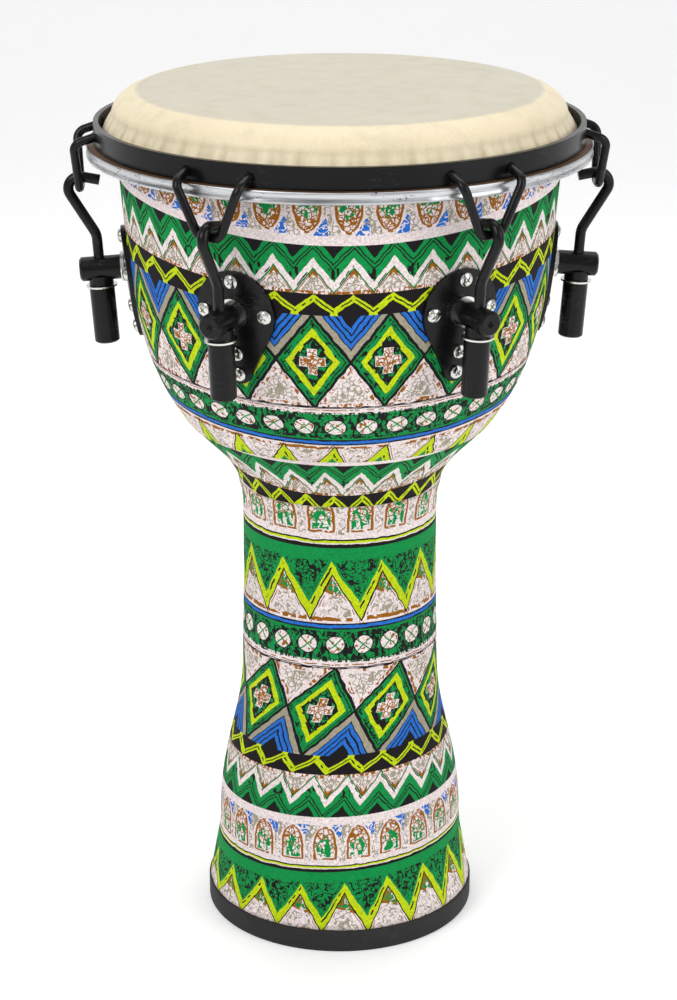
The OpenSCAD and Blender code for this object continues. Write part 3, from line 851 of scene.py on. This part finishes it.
def bake_map(around, z, outer, bowl, lift):
    """A map with no overlaps: the bowl's two halves stacked, and the foot's two halves side
    by side above them. The hidden inner faces share a thin strip at the top."""
    half = np.repeat((around.mean(1, keepdims=True) > 0.5).astype(float), 4, 1)
    across = np.clip((around - half * 0.5) * 2, 0, 1)
    if bowl:
        u, v = 0.004 + 0.992 * across, 0.004 + (z - HIGH_SEAM) / 168 * 0.262 + 0.272 * half
    else:
        u, v = 0.004 + 0.488 * across + 0.502 * half, 0.552 + (z - 14 + lift) / 312 * 0.43
    inner = np.stack([0.004 + 0.992 * around, 0.988 + z / 480 * 0.01], -1)
    return np.where(outer[:, None, None], np.stack([u, v], -1), inner)


def make_covers():
    """All three covers as one piece, with its three maps."""
    parts = [cover(FOOT_BANDS, FOOT_Z, LOW_SEAM, foot_lift, foot_drift, 3),
             cover(WAIST_BANDS, LOW_SEAM - LAP, HIGH_SEAM + LAP, waist_lift, waist_drift, 4),
             cover(BOWL_BANDS, HIGH_SEAM, CLOTH_TOP, bowl_lift, bowl_drift, 5)]
    bakes = [bake_map(*parts[0][4:], False, 0), bake_map(*parts[1][4:], False, 6),
             bake_map(*parts[2][4:], True, 0)]
    starts = np.cumsum([0] + [len(p[0]) for p in parts])
    points = np.vstack([p[0] for p in parts])
    faces = np.vstack([p[1] + s for p, s in zip(parts, starts)])
    made = link("cloth_covers", points, faces)
    maps = {"Print": np.vstack([p[2] for p in parts]), "Thread": np.vstack([p[3] for p in parts]),
            "OFBake": np.vstack(bakes)}
    for name, values in maps.items():
        layer = made.data.uv_layers.new(name=name)
        layer.data.foreach_set("uv", values.astype(np.float32).ravel())
    return made


cloth_covers = make_covers()
give(cloth, cloth_covers)
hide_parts("bowl_cover", "waist_cover", "foot_cover")
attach(cloth_covers, "shell")
print("cloth covers:", len(cloth_covers.data.polygons), "faces")


# %% [markdown]
# ## The skin
# The skin lies flat, rolls over the bearing edge, and is drawn down under the hoop, where
# it gathers into short upright creases. Its middle is a printed grey disc on cream. The
# creases are real: a fine wave moves the collar's rows out and in.

# %% Skin shape
SKIN_T = 0.42
SKIN_COLUMNS = 360
EDGE_R, SHOULDER_Z, CROWN_W, CROWN_H = 105.0, 494.0, 24.0, 14.0
COLLAR = np.array([[129.0, 494], [131.6, 490], [133.8, 486], [135.0, 481.5], [135.7, 478.5],
                   [135.7, 472.0]])


def skin_rows():
    """Radius and height of the skin's upper face, from near the middle to the channel."""
    flat = np.stack([np.array([6, 25, 50, 75, 95]), np.full(5, SHOULDER_Z + CROWN_H)], -1)
    bow = np.radians(np.linspace(90, 6, 15))
    roll = np.stack([EDGE_R + CROWN_W * np.cos(bow), SHOULDER_Z + CROWN_H * np.sin(bow)], -1)
    collar_z = np.linspace(SHOULDER_Z, 472, 15)
    collar_r = np.interp(-collar_z, -COLLAR[:, 1], COLLAR[:, 0])
    return np.vstack([flat, roll, np.stack([collar_r, collar_z], -1)])


def make_skin():
    """The upper face with its creases, and a lower face one thickness inside it."""
    rows = skin_rows()
    turns = even_turns(SKIN_COLUMNS)
    pleats = ripple(turns, (41, 58, 73, 97, 119), 11)
    pleats = np.sign(pleats) * np.abs(pleats) ** 1.4
    where = np.clip((499 - rows[:, 1]) / 14, 0, 1) * np.clip((rows[:, 1] - 474) / 5, 0, 1)
    radius = rows[:, 0][:, None] + 0.55 * where[:, None] * np.clip(pleats, -1.2, 0.7)[None, :]
    height = rows[:, 1][:, None] + 0 * turns[None, :]
    inner_r = np.maximum(rows[::-1, 0] - np.where(rows[::-1, 1] < 507, SKIN_T, 0.0), 5.0)
    inner_z = rows[::-1, 1] - np.where(rows[::-1, 1] > 495, SKIN_T, 0.0)
    radius = np.vstack([radius, inner_r[:, None] + 0 * turns[None, :]])
    height = np.vstack([height, inner_z[:, None] + 0 * turns[None, :]])
    points = carried_round(radius, height, turns[None, :]).reshape(-1, 3)
    total = len(radius)
    faces = ring_faces(total, SKIN_COLUMNS)[:, ::-1]
    top, low = len(points), len(points) + 1
    points = np.vstack([points, [[0, 0, SHOULDER_Z + CROWN_H], [0, 0, SHOULDER_Z + CROWN_H - SKIN_T]]])
    first = np.arange(SKIN_COLUMNS)
    after = (first + 1) % SKIN_COLUMNS
    last = (total - 1) * SKIN_COLUMNS
    fan_top = np.stack([first, after, np.full_like(first, top)], -1)
    fan_low = np.stack([last + after, last + first, np.full_like(first, low)], -1)
    made = link("skin", points * MM, faces, fan_top, fan_low)
    # The crease attribute keeps each point's pleat; the skin's finish paints shade in its hollows and a
    # highlight on its ridges.
    crease = np.zeros(len(points), np.float32)
    crease[:len(rows) * SKIN_COLUMNS] = (where[:, None] * np.clip(pleats, -1, 1)[None, :]).ravel()
    made.data.attributes.new("crease", "FLOAT", "POINT").data.foreach_set("value", crease)
    return made


# %% [markdown]
# ## The skin's finish
# Cream where it is bare, greyer on the printed disc, whose rim is slightly soft. Faint
# fibres run everywhere, and on the collar painted shade darkens the creases' hollows and a
# painted highlight lightens their ridges.

# %% Skin finish
DISC_R = 0.1155
CREAM, DISC = linear(226, 212, 180), linear(196, 189, 170)


def skin_finish():
    finish = Finish("skin", Specular_IOR_Level=0.4, Subsurface_Weight=0.06, Sheen_Weight=0.05)
    tree = finish.tree
    finish.shader.inputs["Subsurface Radius"].default_value = (0.004, 0.003, 0.002)
    split = add_node(tree, "ShaderNodeSeparateXYZ")
    tree.links.new(finish.place, split.inputs[0])
    x, y = finish.value(split.outputs[0]), finish.value(split.outputs[1])
    reach = (x * x + y * y).root() + (finish.noise(90, 2) - 0.5) * 0.0012
    soft = add_node(tree, "ShaderNodeMapRange", interpolation_type="SMOOTHSTEP")
    soft.inputs["From Min"].default_value = DISC_R - 0.0022
    soft.inputs["From Max"].default_value = DISC_R + 0.0012
    tree.links.new(reach.socket, soft.inputs["Value"])
    fibres = finish.noise(75, 4)
    base = painted(tree, DISC, CREAM, finish.value(soft.outputs[0]))
    cloudy = painted(tree, base, linear(176, 166, 142), (fibres - 0.48).high(0) * 1.1)
    crease = finish.value(add_node(tree, "ShaderNodeAttribute", attribute_name="crease").outputs["Fac"])
    # Painted shade: darker colour in the creases' hollows, where the crease value is below nought.
    deep = painted(tree, cloudy, linear(176, 156, 116), (crease * -0.9).high(0).low(0.55))
    # Painted highlight: lighter colour on the creases' ridges, where the crease value is above nought.
    ridge_painted_highlight = painted(tree, deep, linear(246, 236, 208), (crease * 0.7).high(0).low(0.6))
    shade = finish.mottled(ridge_painted_highlight, 0.06, 0.10)
    finish.feed("Base Color", shade.outputs["Color"])
    finish.feed("Roughness", fibres * 0.22 + 0.36)
    finish.bump(finish.noise(420, 4) * 0.6 + finish.noise(60, 2), 0.0003, 0.35)
    return finish


skin = make_skin()
give(skin_finish(), skin)
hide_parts("drumhead", "drumhead_collar")
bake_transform(skin)
print("skin:", len(skin.data.polygons), "faces")

# %% [markdown]
# ## The crimped channel
# The skin's edge is locked in an aluminium channel, rolled and crimped all round. Its top
# is a bright thin edge, its face bows slightly, and its lower lip waves where the crimping
# tool bit. The profile is a closed loop, and the wave grows towards the lower lip.

# %% Channel
CHANNEL_COLUMNS = 540
CRIMP, DENT, LIP_RISE = 0.22, 0.07, 0.3     # sizes of the lip's waves, millimetres
MOST_PROUD = 0.04                           # the lip stays inside the frame's channel
CHANNEL_LOOP = np.array([
    [142.9, 476.9], [143.1, 477.5], [143.7, 477.5], [143.95, 477.0], [143.55, 475.6], [143.35, 474.2],
    [143.5, 472.9], [143.95, 472.0], [143.9, 471.1], [143.3, 470.75], [139.0, 470.75], [134.4, 470.8],
    [134.05, 471.2], [134.0, 474.0], [134.0, 477.2], [134.3, 477.45], [135.0, 477.4], [135.15, 472.2],
    [139.0, 471.95], [142.6, 472.1], [142.8, 474.0]])


def make_channel():
    """The loop carried round, its outer lower part moved by two sums of sines."""
    turns = even_turns(CHANNEL_COLUMNS)
    crimp = ripple(turns, (9, 17, 26, 34, 45), 21)
    dents = ripple(turns, (61, 83, 107), 22)
    outside = np.clip((CHANNEL_LOOP[:, 0] - 142.95) / 0.8, 0, 1)
    lower = np.clip((475.5 - CHANNEL_LOOP[:, 1]) / 4, 0, 1)
    reach = (outside * lower)[:, None]
    push = reach * (CRIMP * crimp + DENT * dents - CRIMP)[None, :]
    radius = CHANNEL_LOOP[:, 0][:, None] + np.minimum(push, MOST_PROUD)
    height = CHANNEL_LOOP[:, 1][:, None] + reach * np.maximum(LIP_RISE * crimp, 0)[None, :]
    points = carried_round(radius, height, turns[None, :]).reshape(-1, 3) * MM
    faces = ring_faces(len(CHANNEL_LOOP), CHANNEL_COLUMNS, closed_rows=True)
    return link("crimped_channel", points, faces[:, ::-1])


def aluminium_finish():
    finish = Finish("channel_aluminium", Metallic=1.0)
    shade = finish.mottled(linear(204, 206, 208), 0.12, 0.06)
    marks = finish.group(scratches, Place=finish.place, Width=0.006)
    drawn = finish.noise(60, 4, (0.35, 0.35, 9))
    streaked = painted(finish.tree, shade.outputs["Color"], linear(112, 112, 114),
                       ((drawn - 0.48) * 3.4).high(0).low(0.75))
    worn = painted(finish.tree, streaked, linear(90, 92, 94), finish.value(marks.outputs["Mask"]))
    finish.feed("Base Color", worn)
    finish.feed("Roughness", finish.value(marks.outputs["Smear"]) * 0.3 + 0.2)
    finish.bump(drawn * 0.6 + finish.noise(110, 2), 0.0003, 0.45)
    return finish


aluminium = aluminium_finish()
channel = make_channel()
give(aluminium, channel)
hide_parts("flesh_hoop")
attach(channel, "hoop")
print("channel:", len(channel.data.polygons), "faces")


# %% [markdown]
# ## The foot rubber
# A moulded ring takes the floor's knocks. Rubber is nearly black and never shiny, with a
# fine grain and some dust in it. Its edges are rounded, so its loop has small arcs.

# %% Foot ring
RUBBER_COLUMNS = 240


def rounded(corners, radius, steps=4):
    """A closed loop through corners, each cut back by a radius and bent round."""
    corners = np.array(corners, float)
    before, after = np.roll(corners, 1, 0), np.roll(corners, -1, 0)
    into = (before - corners) / np.linalg.norm(before - corners, axis=1, keepdims=True)
    away = (after - corners) / np.linalg.norm(after - corners, axis=1, keepdims=True)
    r = np.minimum(radius, 0.45 * np.minimum(np.linalg.norm(before - corners, axis=1),
                                             np.linalg.norm(after - corners, axis=1)))[:, None]
    t = np.linspace(0, 1, steps + 1)[None, :, None]
    a, b = (corners + into * r)[:, None], (corners + away * r)[:, None]
    c = corners[:, None]
    return ((1 - t) ** 2 * a + 2 * t * (1 - t) * c + t * t * b).reshape(-1, 2)


def make_foot_rubber():
    """A stepped loop with bent corners, as wide and high as the frame's ring."""
    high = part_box("base_ring")[1]
    ring_r, ring_h = high.x / MM, high.z / MM
    loop = rounded([(73.5, 0), (ring_r, 0), (ring_r, ring_h), (78.5, ring_h), (78.5, 4.1),
                    (76.5, 4.1), (76.5, ring_h - 1), (73.5, ring_h - 1)], 1.3)
    turns = even_turns(RUBBER_COLUMNS)
    radius = loop[:, 0][:, None] + 0 * turns[None, :]
    height = loop[:, 1][:, None] + 0 * turns[None, :]
    points = carried_round(radius, height, turns[None, :]).reshape(-1, 3) * MM
    return link("foot_rubber", points, ring_faces(len(loop), RUBBER_COLUMNS, closed_rows=True))


def rubber_finish():
    finish = Finish("rubber", Specular_IOR_Level=0.35)
    shade = finish.mottled(linear(30, 29, 29), 0.2, 0.3)
    dust = painted(finish.tree, shade.outputs["Color"], linear(90, 88, 84),
                   (finish.noise(70, 4) - 0.62).high(0) * 0.6)
    finish.feed("Base Color", dust)
    finish.feed("Roughness", finish.noise(60, 3) * 0.2 + 0.58)
    finish.bump(finish.noise(1100, 2) + finish.noise(160, 2) * 0.5, 0.0002, 0.5)
    return finish


foot_rubber = make_foot_rubber()
give(rubber_finish(), foot_rubber)
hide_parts("base_ring")
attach(foot_rubber, "shell")
print("foot rubber:", len(foot_rubber.data.polygons), "faces")

# %% [markdown]
# ## Finishes for the frame's own parts
# The hoop, plates, posts, hooks, yokes and nuts are black powder coat over steel: nearly
# black, satin, with the faint orange peel of baked powder and hair scratches. Screws,
# washers and rings are bright plate. The shell's inside is a grey moulding with flow marks.

# %% Metal, moulding and resin finishes
def black_coat(name, rough, peel):
    finish = Finish(name, Specular_IOR_Level=0.22)
    shade = finish.mottled(linear(13, 13, 14), 0.25, 0.15)
    marks = finish.group(scratches, Place=finish.place, Width=0.006)
    worn = painted(finish.tree, shade.outputs["Color"], linear(70, 70, 72),
                   finish.value(marks.outputs["Mask"]) * 0.4)
    finish.feed("Base Color", worn)
    finish.feed("Roughness", finish.value(marks.outputs["Smear"]) * 0.16 + (rough - 0.08))
    finish.bump(finish.noise(700, 2), 0.0002, peel)
    return finish


def bright_plate(name, colour, rough):
    finish = Finish(name, Metallic=1.0)
    shade = finish.mottled(colour, 0.12, 0.08)
    marks = finish.group(scratches, Place=finish.place, Width=0.012)
    worn = painted(finish.tree, shade.outputs["Color"], linear(110, 108, 104),
                   finish.value(marks.outputs["Mask"]))
    finish.feed("Base Color", worn)
    finish.feed("Roughness", finish.value(marks.outputs["Smear"]) * 0.2 + rough)
    finish.bump(finish.noise(900, 2), 0.0001, 0.25)
    return finish


def moulding_finish():
    finish = Finish("fibreglass", Specular_IOR_Level=0.4)
    shade = finish.mottled(linear(72, 72, 74), 0.25, 0.25)
    finish.feed("Base Color", shade.outputs["Color"])
    finish.feed("Roughness", finish.noise(40, 3) * 0.25 + 0.45)
    finish.bump(finish.noise(90, 4, (1, 1, 0.3)) + finish.noise(700, 2) * 0.2, 0.0006, 0.5)
    return finish


def resin_finish():
    finish = Finish("resin", Specular_IOR_Level=0.5)
    shade = finish.mottled(linear(96, 66, 38), 0.35, 0.3)
    finish.feed("Base Color", shade.outputs["Color"])
    finish.feed("Roughness", finish.noise(120, 2) * 0.3 + 0.3)
    finish.bump(finish.noise(200, 3), 0.0004, 0.6)
    return finish


coat = black_coat("black_steel", 0.27, 0.2)
hoop_coat = black_coat("hoop_steel", 0.25, 0.12)
bright = bright_plate("plated_steel", linear(214, 213, 208), 0.12)
zinc = bright_plate("zinc_steel", linear(180, 178, 168), 0.28)
moulding, resin = moulding_finish(), resin_finish()
COATED = ("lug_plate", "lug_post", "saddle", "yoke", "hook_bolt", "barrel_nut")
BRIGHT = ("post_rings", "plate_screws", "nut_washer")
for name, thing in nodes.items():
    if name == "counterhoop":
        give(hoop_coat, thing)
    elif name.startswith(COATED):
        give(coat, thing)
    elif name.startswith(BRIGHT):
        give(bright, thing)
    elif name == "shell":
        give(moulding, thing)
    elif name == "head_resin":
        give(resin, thing)
    elif name in ("screw_washers", "screw_nuts", "post_bolts", "post_washers"):
        give(zinc, thing)
print("finishes given to", len(nodes), "nodes")

# %% Floor finish
paper = Finish("studio_paper", Roughness=0.9, Emission_Color=(1, 1, 1, 1), Emission_Strength=0.22)
paper_shade = paper.mottled(linear(244, 244, 244), 0.01, 0.0)
paper.feed("Base Color", paper_shade.outputs["Color"])
give(paper, floor)
